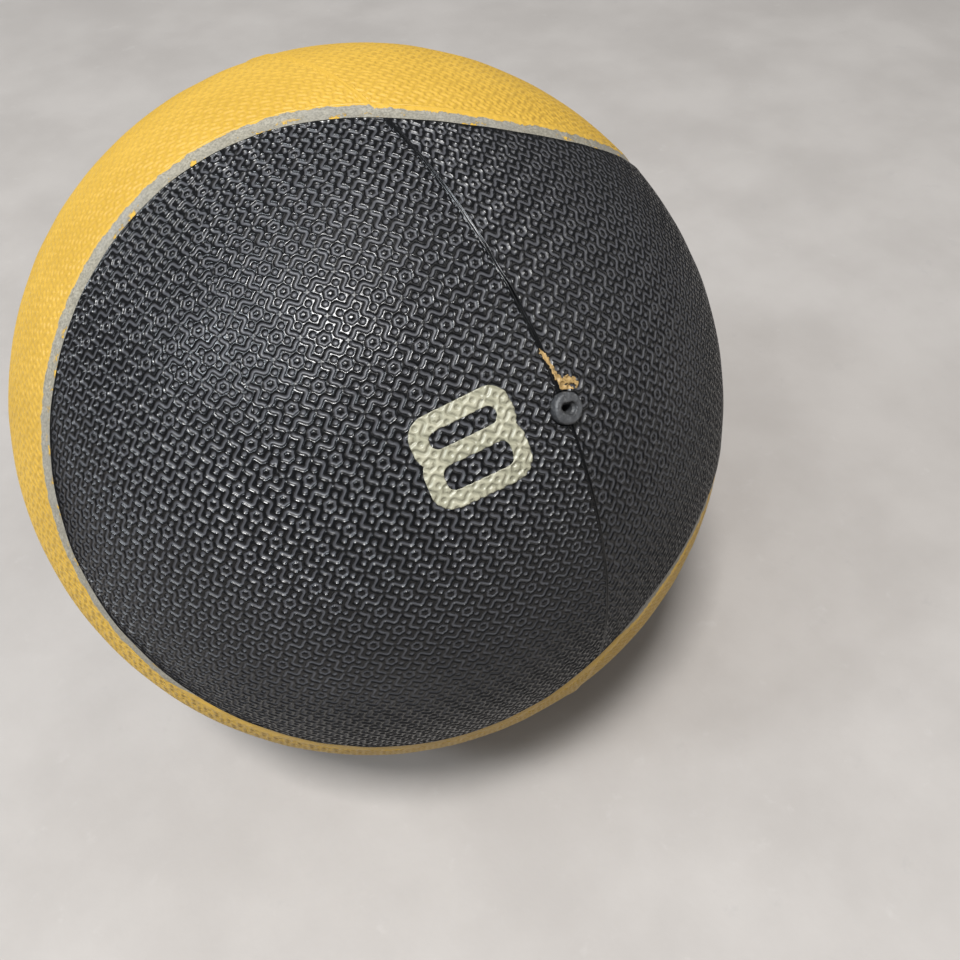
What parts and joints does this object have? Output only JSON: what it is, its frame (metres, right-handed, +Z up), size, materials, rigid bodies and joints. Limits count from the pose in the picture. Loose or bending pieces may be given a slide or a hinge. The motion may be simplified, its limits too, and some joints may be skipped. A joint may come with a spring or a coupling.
{
  "type": "medicine ball",
  "caption": "Textured rubber medicine ball with two interlocking cover panels, a channel stripe between them, a push-in needle valve and a printed weight numeral.",
  "frame": {"origin": "centre of the ball, which is 115 mm above the surface it rests on", "axes": "+Z up as the ball lies in the picture; X along the level moulding axis, so the parting line is in the plane X = 0; the valve faces -Y and up, 52.5 degrees from +Z, in the plane X = 0"},
  "size_m": [0.23, 0.23, 0.23],
  "materials": {
    "cover_black": "moulded pebble relief, satin",
    "cover_yellow": "moulded pebble relief, matt and worn",
    "stripe_grey": "smooth, worn",
    "winding_cord": "wound cord",
    "wall_rubber": "plain",
    "bladder_butyl": "smooth",
    "housing_rubber": "smooth",
    "plug_rubber": "dusty, matt",
    "numeral_print": "printed, matt"
  },
  "bodies": {
    "ball": {"cover_black": "cover_black", "cover_yellow": "cover_yellow", "channel_stripe": "stripe_grey", "numeral_eight": "numeral_print", "winding_layer": "winding_cord", "wall_half_left": "wall_rubber", "wall_half_right": "wall_rubber", "bladder": "bladder_butyl", "valve_housing": "housing_rubber"},
    "valve_core": {"valve_core": "plug_rubber"}
  },
  "joints": [
    {"name": "valve_core_slide", "type": "slide", "parent": "ball", "child": "valve_core", "axis": [0, -0.7934, 0.6088], "range_m": [-0.002, 0.016]}
  ]
}
